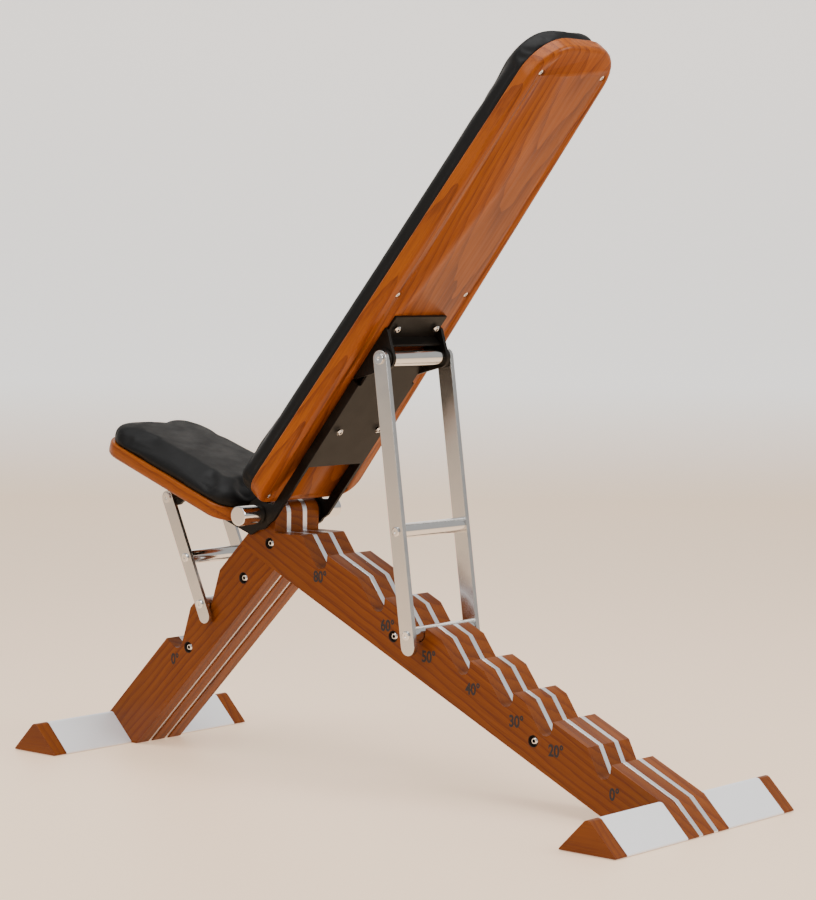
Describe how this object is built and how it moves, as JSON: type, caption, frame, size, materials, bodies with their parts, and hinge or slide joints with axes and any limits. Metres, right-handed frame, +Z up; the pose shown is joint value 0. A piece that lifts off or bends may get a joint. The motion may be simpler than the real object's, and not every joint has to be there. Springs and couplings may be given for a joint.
{
  "type": "adjustable weight bench",
  "caption": "Adjustable weight bench with a laminated timber frame, stepped notches, padded seat and backrest boards, and polished prop struts.",
  "frame": {"origin": "on the floor, midway between the outer corners of the two feet, on the bench's centre plane", "axes": "+X across the bench, +Y along it from the seat end towards the rear foot, +Z up"},
  "size_m": [0.42, 1.16, 1.0818],
  "materials": {
    "stained_ash": "orange-brown stained ash, satin varnish",
    "satin_aluminium": "satin brushed",
    "polished_steel": "polished",
    "zinc_steel": "zinc plated",
    "black_steel": "satin black powder coat",
    "pad_leather": "soft black synthetic leather",
    "foot_rubber": "matt",
    "bush_bronze": "turned"
  },
  "bodies": {
    "frame": {"rear_beam_plank_right": "stained_ash", "rear_beam_plank_middle": "stained_ash", "rear_beam_plank_left": "stained_ash", "rear_beam_plate_right": "satin_aluminium", "rear_beam_plate_left": "satin_aluminium", "front_leg_plank_right": "stained_ash", "front_leg_plank_middle": "stained_ash", "front_leg_plank_left": "stained_ash", "front_leg_plate_right": "satin_aluminium", "front_leg_plate_left": "satin_aluminium", "front_foot_cores": "stained_ash", "rear_foot_cores": "stained_ash", "front_foot_cover_right": "satin_aluminium", "front_foot_cover_left": "satin_aluminium", "rear_foot_cover_right": "satin_aluminium", "rear_foot_cover_left": "satin_aluminium", "front_foot_end_caps": "stained_ash", "rear_foot_end_caps": "stained_ash", "foot_pads": "foot_rubber", "foot_tie_rods": "zinc_steel", "frame_bolts": "polished_steel", "frame_nuts": "polished_steel", "main_axle": "polished_steel", "axle_barrel_right": "polished_steel", "axle_barrel_left": "polished_steel"},
    "seat": {"seat_board": "stained_ash", "seat_pad": "pad_leather", "seat_hinge_bracket": "black_steel", "seat_hinge_bushes": "bush_bronze", "seat_strut_bracket": "black_steel", "seat_bolts": "polished_steel"},
    "seat_strut": {"seat_strut_bar_right": "polished_steel", "seat_strut_bar_left": "polished_steel", "seat_strut_pivot_pin": "polished_steel", "seat_strut_cross_tube": "polished_steel", "seat_strut_notch_rod": "polished_steel", "seat_strut_bolts": "polished_steel"},
    "backrest": {"back_board": "stained_ash", "back_pad": "pad_leather", "back_channel": "black_steel", "back_hinge_bushes": "bush_bronze", "back_strut_bracket": "black_steel", "back_board_screws": "polished_steel", "back_bolts": "polished_steel", "back_strut_pivot_tube": "polished_steel"},
    "back_strut": {"back_strut_bar_right": "polished_steel", "back_strut_bar_left": "polished_steel", "back_strut_pivot_pin": "polished_steel", "back_strut_spacers": "black_steel", "back_strut_cross_tube": "polished_steel", "back_strut_notch_rod": "polished_steel", "back_strut_bolts": "polished_steel"}
  },
  "joints": [
    {"name": "back_recline", "type": "hinge", "parent": "frame", "child": "backrest", "pos_m": [0, -0.1956, 0.384], "axis": [1, 0, 0], "range_deg": [0, 30]},
    {"name": "back_strut_swing", "type": "hinge", "parent": "backrest", "child": "back_strut", "pos_m": [0, 0.05527, 0.62386], "axis": [1, 0, 0], "range_deg": [-18.5, 0]},
    {"name": "seat_tilt", "type": "hinge", "parent": "frame", "child": "seat", "pos_m": [0, -0.1956, 0.384], "axis": [-1, 0, 0], "range_deg": [0, 6]},
    {"name": "seat_strut_swing", "type": "hinge", "parent": "seat", "child": "seat_strut", "pos_m": [0, -0.39409, 0.39658], "axis": [-1, 0, 0], "range_deg": [-6.5, 0]}
  ],
  "couplings": [
    {"joint": "back_strut_swing", "follows": "back_recline", "ratio": -0.6},
    {"joint": "seat_strut_swing", "follows": "seat_tilt", "ratio": -1}
  ]
}
